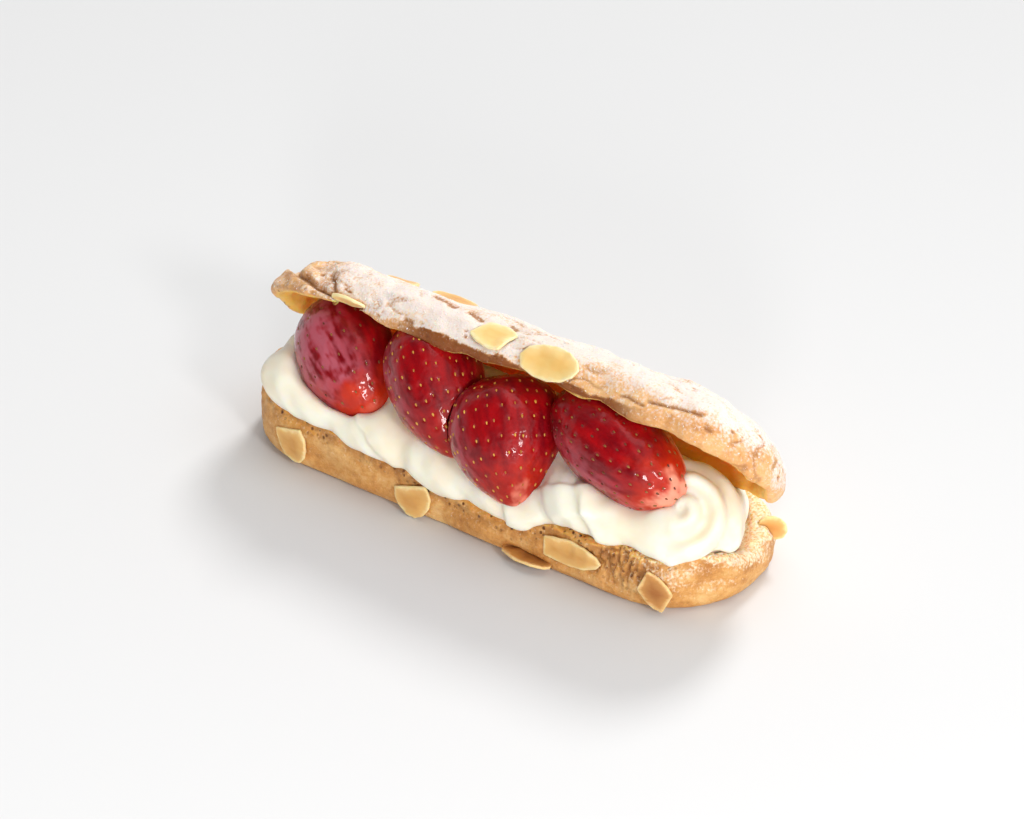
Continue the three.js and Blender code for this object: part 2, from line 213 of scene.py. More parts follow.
class Sculpture:
    """A mesh worked up from a solid of the frame."""

    def __init__(self, node: str, name: str, voxel: float, rounds: int) -> None:
        """Copies a solid's mesh, with even faces and a first smoothing.

        Args:
            node: The solid's node in the frame.
            name: The new piece's name.
            voxel: The size of a face.
            rounds: How many times it is smoothed.
        """
        shape = bmesh.new()
        shape.from_mesh(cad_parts[node].data)
        bmesh.ops.remove_doubles(shape, verts=shape.verts, dist=WELD)
        self.node = node
        self.piece = put(name, mesh_of(name, shape))
        self.remesh(voxel)
        self.relax(rounds)

    @property
    def points(self) -> np.ndarray:
        """The vertices, one a row."""
        return rows(self.piece.data.vertices, "co")

    @points.setter
    def points(self, points: np.ndarray) -> None:
        """Moves the vertices."""
        self.piece.data.vertices.foreach_set("co", points.astype(np.float32).ravel())
        self.piece.data.update()

    @property
    def normals(self) -> np.ndarray:
        """The outward direction at each vertex."""
        return rows(self.piece.data.vertex_normals, "vector")

    def remesh(self, voxel: float) -> None:
        """Gives the mesh even faces.

        Args:
            voxel: The size of a face.
        """
        modifier = self.piece.modifiers.new("even_faces", "REMESH")
        modifier.mode = "VOXEL"
        modifier.voxel_size = voxel
        shown = self.piece.evaluated_get(bpy.context.evaluated_depsgraph_get())
        coarse = self.piece.data
        fine = bpy.data.meshes.new_from_object(shown)
        self.piece.modifiers.clear()
        self.piece.data = fine
        fine.name = self.piece.name
        bpy.data.meshes.remove(coarse)

    def relax(self, rounds: int, where: np.ndarray | None = None) -> None:
        """Evens the surface out, more with each round.

        Args:
            rounds: How many times.
            where: Which vertices move, or all of them.
        """
        shape = bmesh.new()
        shape.from_mesh(self.piece.data)
        axes = {"use_axis_x": True, "use_axis_y": True, "use_axis_z": True}
        moving = [vertex for vertex in shape.verts if where is None or where[vertex.index]]
        for _ in range(rounds):
            bmesh.ops.smooth_vert(shape, verts=moving, factor=0.5, **axes)
        shape.to_mesh(self.piece.data)
        shape.free()

    def raise_by(self, heights: np.ndarray | float) -> None:
        """Moves each vertex outwards by its height."""
        lift = np.broadcast_to(heights, len(self.piece.data.vertices))
        self.points = self.points + self.normals * lift[:, None]

    def mark(self, trait: Trait, values: np.ndarray) -> None:
        """Stores a trait's value at each vertex."""
        attribute = self.piece.data.attributes.new(trait.value, "FLOAT", "POINT")
        attribute.data.foreach_set("value", np.clip(values, 0, 1).astype(np.float32))

    def dress(self, material: bpy.types.Material) -> bpy.types.Object:
        """Finishes the piece in its material, and lets it stand for its solid."""
        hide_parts(self.node)
        return dressed(self.piece, material)


def dressed(piece: bpy.types.Object, material: bpy.types.Material) -> bpy.types.Object:
    """Gives a piece its material and the body it rides on.

    Args:
        piece: A mesh object in its place.
        material: The look.

    Returns:
        The same piece.
    """
    piece.data.materials.clear()
    piece.data.materials.append(material)
    piece.data.shade_smooth()
    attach(piece, BODY)
    return piece


def scattered(name: str, grain: bpy.types.Mesh, places: Sequence[Matrix]) -> bpy.types.Object:
    """Joins a copy of a small shape at each place into one mesh.

    Args:
        name: The piece's name.
        grain: The shape.
        places: Where each copy goes, and how it is turned and scaled.

    Returns:
        The joined piece.
    """
    corners = np.array([vertex.co for vertex in grain.vertices])
    faces = np.array([polygon.vertices for polygon in grain.polygons])
    moves = np.array(list(places))
    points = np.einsum("pij,vj->pvi", moves[:, :3, :3], corners) + moves[:, None, :3, 3]
    firsts = np.arange(len(places)) * len(corners)
    joined = (faces[None] + firsts[:, None, None]).reshape(-1, faces.shape[1])
    mesh = bpy.data.meshes.new(name)
    mesh.from_pydata(points.reshape(-1, 3).tolist(), [], joined.tolist())
    return put(name, mesh)


def small_ball(name: str, roughness: float, seed: int) -> bpy.types.Mesh:
    """A ball of radius 1 with 20 faces, as a grain for scattering.

    Args:
        name: The mesh's name.
        roughness: How far corners stray, as a share of the radius.
        seed: Which stray shape.

    Returns:
        The mesh.
    """
    draw = np.random.default_rng(seed)
    shape = bmesh.new()
    bmesh.ops.create_icosphere(shape, subdivisions=1, radius=1)
    for vertex in shape.verts:
        vertex.co *= 1 + roughness * draw.uniform(-1, 1)
    return mesh_of(name, shape)


def place_on(point: Vector, normal: Vector, spin: float, scale: Sequence[float]) -> Matrix:
    """A place on a surface, with Z along its normal, turned about it by spin and scaled."""
    turn = normal.to_track_quat("Z", "Y").to_matrix() @ Matrix.Rotation(spin, 3, "Z")
    return Matrix.LocRotScale(point, turn.to_quaternion(), Vector(scale))


class Graph:
    """The nodes of a material or of the room, put together step by step round one shader."""

    def __init__(self, owner: bpy.types.Material | bpy.types.World,
                 shader: str = "Principled BSDF") -> None:
        """Starts from the shader that a new owner has.

        Args:
            owner: The material or the room.
            shader: The name of its shader.
        """
        owner.use_nodes = True
        self.tree = owner.node_tree
        self.shader = self.tree.nodes[shader]

    def join(self, value: object, socket: bpy.types.NodeSocket) -> None:
        """Feeds a socket.

        Args:
            value: Another socket to link to it, or a number or colour to set on it.
            socket: The socket.
        """
        if isinstance(value, bpy.types.NodeSocket):
            self.tree.links.new(value, socket)
        else:
            socket.default_value = value

    def node(self, kind: str, result: str, inputs: dict[str, object],
             **settings: object) -> bpy.types.NodeSocket:
        """Adds a node.

        Args:
            kind: The node's type, without the word that all of them start with.
            result: The output that is wanted.
            inputs: What feeds each input, by the input's identifier.
            settings: The node's other settings.

        Returns:
            The output.
        """
        node = self.tree.nodes.new(f"ShaderNode{kind}")
        for name, setting in settings.items():
            setattr(node, name, setting)
        sockets = {socket.identifier: socket for socket in node.inputs}
        for name, value in inputs.items():
            self.join(value, sockets[name])
        return next(socket for socket in node.outputs if socket.identifier == result)

    def set(self, **values: object) -> None:
        """Feeds the shader's sockets.

        Args:
            values: What feeds each, by its name in lower case with underscores.
        """
        sockets = {socket.name.lower().replace(" ", "_"): socket for socket in self.shader.inputs}
        for name, value in values.items():
            self.join(value, sockets[name])

    def place(self, kind: str = "Object") -> bpy.types.NodeSocket:
        """Coordinates on the piece or, of another kind, in the room."""
        return self.node("TexCoord", kind, {})

    def noise(self, size: float, detail: float = 2.0, warp: float = 0.0) -> bpy.types.NodeSocket:
        """Cloudy noise from 0 to 1, with clouds of a size, finer layers by detail and swirls by warp."""
        inputs = {"Vector": self.place(), "Scale": 1 / size, "Detail": detail, "Distortion": warp}
        return self.node("TexNoise", "Fac", inputs)

    def streaks(self, size: Sequence[float], detail: float = 2.0) -> bpy.types.NodeSocket:
        """Cloudy noise drawn out along some of the axes.

        Args:
            size: The width of a cloud along each axis.
            detail: How many finer layers it has.

        Returns:
            The noise, from 0 to 1.
        """
        scale = [1 / width for width in size]
        place = self.node("Mapping", "Vector", {"Vector": self.place(), "Scale": scale})
        return self.node("TexNoise", "Fac", {"Vector": place, "Scale": 1.0, "Detail": detail})

    def dots(self, pitch: float, radius: float) -> bpy.types.NodeSocket:
        """1 inside dots of a radius, scattered about a pitch apart, and 0 between them."""
        away = self.node("TexVoronoi", "Distance", {"Vector": self.place(), "Scale": 1 / pitch})
        return self.span(away, 0.7 * radius / pitch, 1.3 * radius / pitch, 1.0, 0.0)

    def trait(self, trait: Trait) -> bpy.types.NodeSocket:
        """A value that the piece carries at its vertices."""
        return self.node("Attribute", "Fac", {}, attribute_name=trait.value)

    def math(self, step: str, first: object, second: object) -> bpy.types.NodeSocket:
        """The sum or product of two values."""
        return self.node("Math", "Value", {"Value": first, "Value_001": second}, operation=step)

    def total(self, *parts: tuple[object, float]) -> bpy.types.NodeSocket:
        """The sum of values, each times its weight."""
        scaled = [self.math("MULTIPLY", value, weight) for value, weight in parts]
        return reduce(lambda first, second: self.math("ADD", first, second), scaled)

    def span(self, value: object, low: float, high: float, first: float = 0.0,
             last: float = 1.0) -> bpy.types.NodeSocket:
        """Eases a value from first, at low, to last, at high."""
        inputs = {"Value": value, "From Min": low, "From Max": high, "To Min": first, "To Max": last}
        return self.node("MapRange", "Result", inputs, interpolation_type="SMOOTHSTEP")

    def blend(self, share: object, first: object, second: object) -> bpy.types.NodeSocket:
        """A colour between two, the second where share is 1."""
        inputs = {"Factor_Float": share, "A_Color": first, "B_Color": second}
        return self.node("Mix", "Result_Color", inputs, data_type="RGBA")

    def ramp(self, value: object, stops: Sequence[tuple[float, Colour]]) -> bpy.types.NodeSocket:
        """A colour picked along a row of stops.

        Args:
            value: Where along the row, from 0 to 1.
            stops: The place and colour of each stop.

        Returns:
            The colour.
        """
        picked = self.node("ValToRGB", "Color", {"Fac": value})
        elements = picked.node.color_ramp.elements
        while len(elements) < len(stops):
            elements.new(0.5)
        for element, (place, colour) in zip(elements, stops):
            element.position = place
            element.color = colour
        return picked

    def bump(self, height: object, depth: float, strength: float = 1.0) -> bpy.types.NodeSocket:
        """Normals for a relief of that depth, too fine for the mesh."""
        inputs = {"Height": height, "Distance": depth, "Strength": strength}
        return self.node("Bump", "Normal", inputs)


@dataclass(frozen=True)
class Finish(ABC):
    """A look that paints its own material."""

    name: str

    def material(self) -> bpy.types.Material:
        """Makes the material.

        Returns:
            The material.
        """
        material = bpy.data.materials.new(self.name)
        self.paint(Graph(material))
        return material

    @abstractmethod
    def paint(self, graph: Graph) -> None:
        """Puts the material's nodes together.

        Args:
            graph: The nodes, with a plain shader.
        """


@dataclass(frozen=True)
class CrustFinish(Finish):
    """Baked choux, from pale dough to brown ridges, under icing sugar where it is dusted."""

    pale: Colour
    golden: Colour
    brown: Colour
    crumb: Colour
    pit_shade: Colour
    pore_shade: Colour
    sugar: Colour
    glow: float

    def paint(self, graph: Graph) -> None:
        """Paints a baked crust.

        Args:
            graph: The nodes, with a plain shader.
        """
        clouds = graph.noise(11 * MM, detail=3, warp=0.4)
        bands = graph.streaks((16 * MM, 16 * MM, 3.4 * MM), detail=3)
        mottle = graph.noise(1.7 * MM, detail=4)
        grain = graph.noise(0.45 * MM, detail=2)
        tone = graph.total((clouds, 0.38), (bands, 0.26), (mottle, 0.22), (grain, 0.14))
        colour = graph.ramp(tone, [(0.38, self.pale), (0.5, self.golden), (0.62, self.brown)])
        # Painted shade: the pit colour darkens cracks, splits, grooves, holes and the band under the
        # cream, where shadow falls.
        colour = graph.blend(graph.trait(Trait.PIT_SHADE), colour, self.pit_shade)
        crumb = graph.trait(Trait.CRUMB)
        colour = graph.blend(crumb, colour, self.crumb)
        # Painted shade: each pore is a dark dot that stands in for the shadow inside a small hole.
        pores = graph.math("MULTIPLY", graph.dots(1.5 * MM, 0.42 * MM), graph.trait(Trait.PORES))
        colour = graph.blend(pores, colour, self.pore_shade)
        powder = graph.noise(0.65 * MM, detail=3)
        drift = graph.noise(1.8 * MM, detail=4)
        cover = graph.total((graph.trait(Trait.DUST), 1.0), (powder, 1.7), (drift, 0.4))
        cover = graph.span(cover, 1.2, 2.0, 0.0, 0.9)
        colour = graph.blend(cover, colour, self.sugar)
        relief = graph.total((mottle, 0.3), (grain, 0.35), (powder, 0.35), (pores, -0.8))
        graph.set(base_color=colour, roughness=graph.span(cover, 0, 1, 0.5, 0.95))
        graph.set(normal=graph.bump(relief, 0.5 * MM, strength=0.8))
        graph.set(subsurface_weight=graph.span(crumb, 0, 1, self.glow, 0.9), subsurface_scale=4 * MM)
        graph.set(subsurface_radius=(1.0, 0.45, 0.15), specular_ior_level=0.35)


@dataclass(frozen=True)
class CreamFinish(Finish):
    """Whipped vanilla cream, stained where berries lie on it."""

    body: Colour
    shade: Colour
    stained: Colour

    def paint(self, graph: Graph) -> None:
        """Paints the cream.

        Args:
            graph: The nodes, with a plain shader.
        """
        clouds = graph.noise(9 * MM, detail=2)
        fine = graph.noise(0.8 * MM, detail=3)
        colour = graph.ramp(clouds, [(0.35, self.shade), (0.6, self.body)])
        colour = graph.blend(graph.trait(Trait.STAIN), colour, self.stained)
        graph.set(base_color=colour, roughness=graph.span(clouds, 0.3, 0.7, 0.36, 0.48))
        graph.set(normal=graph.bump(fine, 0.12 * MM, strength=0.35), specular_ior_level=0.4)
        graph.set(subsurface_weight=0.7, subsurface_scale=2.5 * MM)
        graph.set(subsurface_radius=(1.0, 0.8, 0.5))


@dataclass(frozen=True)
class BerryFinish(Finish):
    """Strawberry skin under a clear glaze."""

    deep: Colour
    bright: Colour
    pale: Colour
    flesh: Colour
    reflected_haze: Colour

    def paint(self, graph: Graph) -> None:
        """Paints a strawberry.

        Args:
            graph: The nodes, with a plain shader.
        """
        clouds = graph.noise(4 * MM, detail=3)
        fine = graph.noise(0.9 * MM, detail=2)
        skin = graph.blend(graph.trait(Trait.BLUSH), self.deep, self.bright)
        # Painted reflection: the haze colour stands in for the soft pinkish sheen of light on the wet
        # glaze.
        skin = graph.blend(graph.trait(Trait.REFLECTED_HAZE), skin, self.reflected_haze)
        skin = graph.blend(graph.trait(Trait.PALE), skin, self.pale)
        skin = graph.blend(graph.trait(Trait.FLESH), skin, self.flesh)
        graph.set(base_color=skin, roughness=graph.span(fine, 0.3, 0.7, 0.3, 0.45))
        graph.set(normal=graph.bump(graph.total((fine, 0.4), (clouds, 0.6)), 0.35 * MM, strength=0.6))
        graph.set(subsurface_weight=0.2, subsurface_scale=1.5 * MM, specular_ior_level=0.15)
        graph.set(subsurface_radius=(1.0, 0.12, 0.08))
        graph.set(coat_weight=0.9, coat_roughness=0.05, coat_ior=1.28)


@dataclass(frozen=True)
class GrainFinish(Finish):
    """Small things of one colour family: seeds and sugar."""

    light: Colour
    dark: Colour
    patch: float
    roughness: float
    glow: float = 0.0

    def paint(self, graph: Graph) -> None:
        """Paints small grains.

        Args:
            graph: The nodes, with a plain shader.
        """
        patches = graph.noise(self.patch, detail=2)
        graph.set(base_color=graph.ramp(patches, [(0.38, self.dark), (0.62, self.light)]))
        graph.set(roughness=self.roughness, subsurface_weight=self.glow)
        graph.set(subsurface_scale=0.6 * MM, specular_ior_level=0.4)


@dataclass(frozen=True)
class AlmondFinish(Finish):
    """A sliced almond: waxy, with a lighter cut edge."""

    heart: Colour
    body: Colour
    rim: Colour

    def paint(self, graph: Graph) -> None:
        """Paints an almond.

        Args:
            graph: The nodes, with a plain shader.
        """
        clouds = graph.noise(3 * MM, detail=3)
        fibres = graph.streaks((3 * MM, 0.8 * MM, 0.8 * MM), detail=3)
        tone = graph.total((graph.trait(Trait.HEART), 0.6), (clouds, 0.4), (fibres, 0.2))
        colour = graph.ramp(tone, [(0.32, self.rim), (0.5, self.body), (0.95, self.heart)])
        graph.set(base_color=colour, roughness=graph.span(fibres, 0.3, 0.7, 0.34, 0.48))
        graph.set(normal=graph.bump(fibres, 0.12 * MM, strength=0.5), specular_ior_level=0.45)
        graph.set(subsurface_weight=0.4, subsurface_scale=1.5 * MM)
        graph.set(subsurface_radius=(1.0, 0.6, 0.25))


class Piece(ABC):
    """A sub-assembly that builds and dresses its own meshes."""

    @abstractmethod
    def build(self) -> list[bpy.types.Object]:
        """Makes the pieces, in their places.

        Returns:
            The finished pieces.
        """


@dataclass
class ChouxBase(Piece):
    """The lower half of the bun, with pores, a torn rim and a burst patch at the right."""

    finish: CrustFinish
    cream: bpy.types.Object
    node: str = "choux_base"
    voxel: float = 0.5 * MM
    rounds: int = 6
    foot: float = 2.5 * MM
    rim_height: float = 15 * MM
    floor: float = 8 * MM
    band: float = 4.5 * MM
    burst: Vector = Vector((49, -23, 10.5)) * MM
    burst_reach: float = 6.5 * MM
    hole: Vector = Vector((45, -23.3, 11.5)) * MM
    hole_reach: float = 2.4 * MM
    right_end: float = 66 * MM
    streak_depth: float = 0.3 * MM
    grain_depth: float = 0.08 * MM
    bubble_depth: float = 0.04 * MM
    rim_bubble_depth: float = 0.25 * MM
    tear_depth: float = 0.9 * MM
    band_depth: float = 0.4 * MM
    burst_depth: float = 1.2 * MM
    hole_depth: float = 1.3 * MM

    def build(self) -> list[bpy.types.Object]:
        """Makes the base.

        Returns:
            The base alone.
        """
        crust = Sculpture(self.node, "choux_base_crust", self.voxel, self.rounds)
        points = crust.points
        clear = smoothstep(points[:, 2], 0.2 * MM, self.foot)
        rim = smoothstep(points[:, 2], 0.72 * self.rim_height, self.rim_height)
        torn = ripple(points, 2.2 * MM, 3)
        bubbles = 0.5 - cells(points, (1.9 * MM, 1.9 * MM, 1.4 * MM))
        right_end = smoothstep(points[:, 0], 0.6 * self.right_end, self.right_end)
        band = self.band_at(points + MM * torn[:, None]) * (1 - 0.6 * right_end)
        burst = self.patch_at(points, self.burst, self.burst_reach)
        hole = self.patch_at(points, self.hole, self.hole_reach)
        pillars = smoothstep(np.abs(ripple(points, (1.6 * MM, 2 * MM, 6 * MM), 2)), 0.05, 0.45)
        heights = self.streak_depth * ripple(points, (16 * MM, 7 * MM, 3 * MM), 2)
        heights += self.grain_depth * ripple(points, 1.4 * MM, 3)
        heights += (self.bubble_depth + self.rim_bubble_depth * rim) * bubbles
        heights += self.tear_depth * rim * torn - self.band_depth * band
        heights -= self.burst_depth * burst * (1 - pillars) + self.hole_depth * hole
        crust.raise_by(clear * heights)
        settled = crust.points
        settled[:, 2] = np.maximum(settled[:, 2], 0)
        crust.points = settled
        upward = crust.normals[:, 2]
        inside = smoothstep(upward, 0.25, 0.8)
        inside *= smoothstep(settled[:, 2], 0.9 * self.floor, 1.1 * self.floor)
        crust.mark(Trait.CRUMB, np.maximum(inside, 0.7 * rim * smoothstep(-torn, -0.1, 0.4)))
        # Painted shade: the band beside the cream is darkened, partly browned crust and partly the
        # shadow under the cream's overhang; the burst's grooves and the hole are darkened as shade, with
        # dark pore dots.
        browned_and_shaded = 0.5 * band * smoothstep(torn, -0.6, 0.3)
        crust.mark(Trait.PIT_SHADE, np.maximum.reduce([browned_and_shaded, burst * (1 - 0.9 * pillars), 0.9 * hole]))
        porous = band * smoothstep(ripple(points, 9 * MM), -0.5, 0)
        crust.mark(Trait.PORES, np.maximum(porous, 0.8 * burst))
        # Icing sugar on upward faces, whiter towards the right end: partly sugar, partly painted light
        # where that end is brightest.
        crust.mark(Trait.DUST, (0.12 + 0.5 * right_end) * smoothstep(upward, -0.2, 0.7))
        return [crust.dress(self.finish.material())]

    def band_at(self, points: np.ndarray) -> np.ndarray:
        """1 beside the cream, where the bun was split, and 0 lower down on its wall."""
        away = distances(points, rows(self.cream.data.vertices, "co"))
        return 1 - smoothstep(away, 1.2 * MM, self.band)

    def patch_at(self, points: np.ndarray, middle: Vector, reach: float) -> np.ndarray:
        """How strongly each point belongs to a round patch, 1 in its middle."""
        away = np.linalg.norm((points - np.array(middle)) / (1.3, 1, 0.9), axis=1)
        return np.exp(-((away / reach) ** 2))


@dataclass(frozen=True)
class Crease:
    """A split or a fold between two points of a surface, with its sizes in millimetres."""

    start: tuple[float, float]
    end: tuple[float, float]
    width: float = 0.5
    depth: float = 0.45
    reach: float = 4.0

    def offsets(self, flat: np.ndarray) -> tuple[np.ndarray, np.ndarray]:
        """Measures points against the line from start to end.

        Args:
            flat: Two coordinates a row, in metres.

        Returns:
            How far each lies from the line, and how far to its left, in millimetres.
        """
        run = np.subtract(self.end, self.start)
        offset = flat / MM - np.array(self.start)
        share = np.clip(offset @ run / (run @ run), 0, 1)
        away = np.linalg.norm(offset - share[:, None] * run, axis=1)
        return away, offset @ np.array((-run[1], run[0])) / np.linalg.norm(run)

    def split(self, flat: np.ndarray) -> np.ndarray:
        """1 in the middle of the split and 0 away from it."""
        away, _ = self.offsets(flat)
        return np.exp(-((away / self.width) ** 2))

    def fold(self, flat: np.ndarray) -> np.ndarray:
        """1 on the left side, which folds over the other, -1 on the other, and 0 away from both."""
        away, left = self.offsets(flat)
        return np.tanh(left / self.width) * np.exp(-((away / self.reach) ** 2))


@dataclass
class ChouxLid(Piece):
    """The upper half of the bun: wrinkled, cracked and dusted, with painted shade in its cracks, its
    hollow side pale gold.
    """

    finish: CrustFinish
    node: str = "choux_lid"
    voxel: float = 0.5 * MM
    rounds: int = 6
    centre: Vector = BUN + Vector((-0.4, 0, 31)) * MM
    tilt: float = math.radians(48)
    height: float = 14.5 * MM
    lobe_edge: float = -66 * MM
    lobe_split: float = 4.6 * MM
    lobe_step: float = 2.0 * MM
    shaded_cut_edge: float = 1.4 * MM
    lump_depth: float = 0.2 * MM
    crag_depth: float = 0.5 * MM
    grain_depth: float = 0.1 * MM
    crack_depth: float = 0.4 * MM
    pit_shade_depth: float = 0.4 * MM
    strand_depth: float = 0.35 * MM
    splits: Sequence[Crease] = (
        Crease((-66, 5.2), (-46.5, 0.8), width=0.9, depth=1.6),
        Crease((-53, 7), (-45.5, 1.5), width=0.7, depth=0.8),
        Crease((-44.6, 4.2), (-43, 3.6), width=0.8, depth=0.5),
        Crease((-24, 2), (-22, 1.7), width=0.8, depth=0.5),
        Crease((-22, 11), (-15, 10), width=0.7, depth=0.5),
        Crease((-10, 10), (-6, 8.6), width=0.8, depth=0.6),
        Crease((1, 10.8), (4, 9.8), width=0.7, depth=0.5),
        Crease((47, 4), (60, 5.5), width=0.5, depth=0.4),
        Crease((40, 3), (46, 2.4), width=0.5, depth=0.4),
        Crease((62.4, 3.1), (63.4, 2.9), width=0.7, depth=0.4),
    )

    @property
    def turn(self) -> np.ndarray:
        """The turn that takes the lid's own frame, where its lip is level, to the part's."""
        return np.array(Matrix.Rotation(-self.tilt, 3, "X"))

    def local(self, points: np.ndarray) -> np.ndarray:
        """Points as seen from the lid's own frame, with its lip at z = 0."""
        return (points - np.array(self.centre)) @ self.turn

    def build(self) -> list[bpy.types.Object]:
        """Makes the lid.

        Returns:
            The lid alone.
        """
        crust = Sculpture(self.node, "choux_lid_crust", self.voxel, self.rounds)
        points = crust.points
        local = self.local(points)
        hollow = self.hollow_at(local, crust)
        shaken = points + 1.5 * MM * ripple(points, 5 * MM)[:, None]
        creases = ripple(shaken, (24 * MM, 6 * MM, 6 * MM), 2)
        cracks = np.exp(-((creases / 0.07) ** 2)) * smoothstep(ripple(points, 11 * MM), -0.05, 0.35)
        crags = smoothstep(-points[:, 0], 25 * MM, 55 * MM)
        lumps = ripple(points, 4.5 * MM, 2)
        holes = smoothstep(-cells(points, 3.1 * MM), -0.33, -0.08)
        pits = holes * smoothstep(ripple(points, 8 * MM), 0.15, 0.45)
        strands = ripple(points, (9 * MM, 1.6 * MM, 1.6 * MM), 2)
        flat = local[:, [0, 2]] + 0.5 * MM * ripple(points, 3 * MM, 2)[:, None]
        opened = np.stack([crease.split(flat) for crease in self.splits])
        heights = (self.lump_depth + self.crag_depth * crags) * lumps
        heights += self.grain_depth * ripple(points, 1.3 * MM, 3)
        heights -= self.crack_depth * cracks + self.pit_shade_depth * pits
        heights -= MM * (opened * [[crease.depth] for crease in self.splits]).max(axis=0)
        heights -= self.lobe_step * self.behind_lobe(local)
        crust.raise_by((1 - hollow) * heights + hollow * self.strand_depth * strands)
        # Painted shade: cracks, pits, splits, dips in the crags and the cut edge under the lip are
        # darkened where shadow falls, with dark pore dots; sugar lies thinner there.
        cut = self.shaded_cut_at(local, strands)
        dips = 0.4 * crags * smoothstep(-lumps, 0.15, 0.5)
        shaded_hollows = np.maximum.reduce([0.5 * cracks, 0.8 * pits, 0.8 * opened.max(axis=0), dips, cut])
        crust.mark(Trait.CRUMB, hollow)
        crust.mark(Trait.PIT_SHADE, (1 - hollow) * shaded_hollows)
        porous = np.maximum(0.7 * crags, cut) * smoothstep(lumps, -0.2, 0.3)
        crust.mark(Trait.PORES, (1 - hollow) * porous)
        crust.mark(Trait.DUST, (1 - hollow) * self.dust_at(crust, local) * (1 - shaded_hollows))
        return [crust.dress(self.finish.material())]

    def hollow_at(self, local: np.ndarray, crust: Sculpture) -> np.ndarray:
        """Tells the two sides of the shell apart.

        Args:
            local: The lid's points in its own frame.
            crust: The lid's mesh.

        Returns:
            1 on the hollow side of the lid, and 0 on its outside.
        """
        facing = crust.normals @ self.turn
        outward = local.copy()
        outward[:, 0] *= 0.25
        outward[:, 2] += 0.2 * self.height
        outward /= np.linalg.norm(outward, axis=1)[:, None]
        return smoothstep(-(facing * outward).sum(axis=1), -0.1, 0.35)

    def behind_lobe(self, local: np.ndarray) -> np.ndarray:
        """Finds where the upper lobe at the left end starts further in than the lower.

        Args:
            local: The lid's points in its own frame.

        Returns:
            1 over the split beyond the upper lobe's edge, and 0 elsewhere.
        """
        over = local[:, 2] - self.lobe_split - 0.22 * (self.lobe_edge - local[:, 0])
        beyond = smoothstep(self.lobe_edge - local[:, 0], -3 * MM, 2 * MM)
        return beyond * smoothstep(over, 0, MM)

    def shaded_cut_at(self, local: np.ndarray, strands: np.ndarray) -> np.ndarray:
        """Finds the bare cut edge along the middle of the front, darker than the top as painted shade
        beneath the lip.

        Args:
            local: The lid's points in its own frame.
            strands: Noise drawn out along the bun.

        Returns:
            1 on the edge, and 0 elsewhere.
        """
        height = local[:, 2] + 0.7 * MM * strands + 0.7 * MM * ripple(local, 2.5 * MM, 3)
        low = 1 - smoothstep(height, 0.5 * self.shaded_cut_edge, self.shaded_cut_edge)
        front = smoothstep(-local[:, 1], 0, 8 * MM)
        along = local[:, 0]
        middle = smoothstep(along, -34 * MM, -16 * MM) * (1 - smoothstep(along, 36 * MM, 52 * MM))
        return low * front * middle

    def dust_at(self, crust: Sculpture, local: np.ndarray) -> np.ndarray:
        """Works out where icing sugar lies.

        Args:
            crust: The lid's mesh.
            local: The lid's points in its own frame.

        Returns:
            How much lies at each vertex.
        """
        points = crust.points
        level = smoothstep(crust.normals[:, 2] + 0.3 * ripple(points, 7 * MM, 3), -0.7, 0.8)
        left_end = smoothstep(-points[:, 0], 44 * MM, 62 * MM)
        low = 1 - smoothstep(local[:, 2] + 1.5 * MM * ripple(points, 8 * MM, 3), 1.5 * MM, 9.5 * MM)
        right_front = smoothstep(points[:, 0], 0, 32 * MM) * low * smoothstep(-local[:, 1], 0, 8 * MM)
        thin = smoothstep(ripple(points, (9 * MM, 4 * MM, 4 * MM), 3), -0.1, 0.45)
        bare = np.maximum(0.6 * left_end, 0.7 * right_front)
        return level * (1 - bare) * (1 - 0.25 * thin)


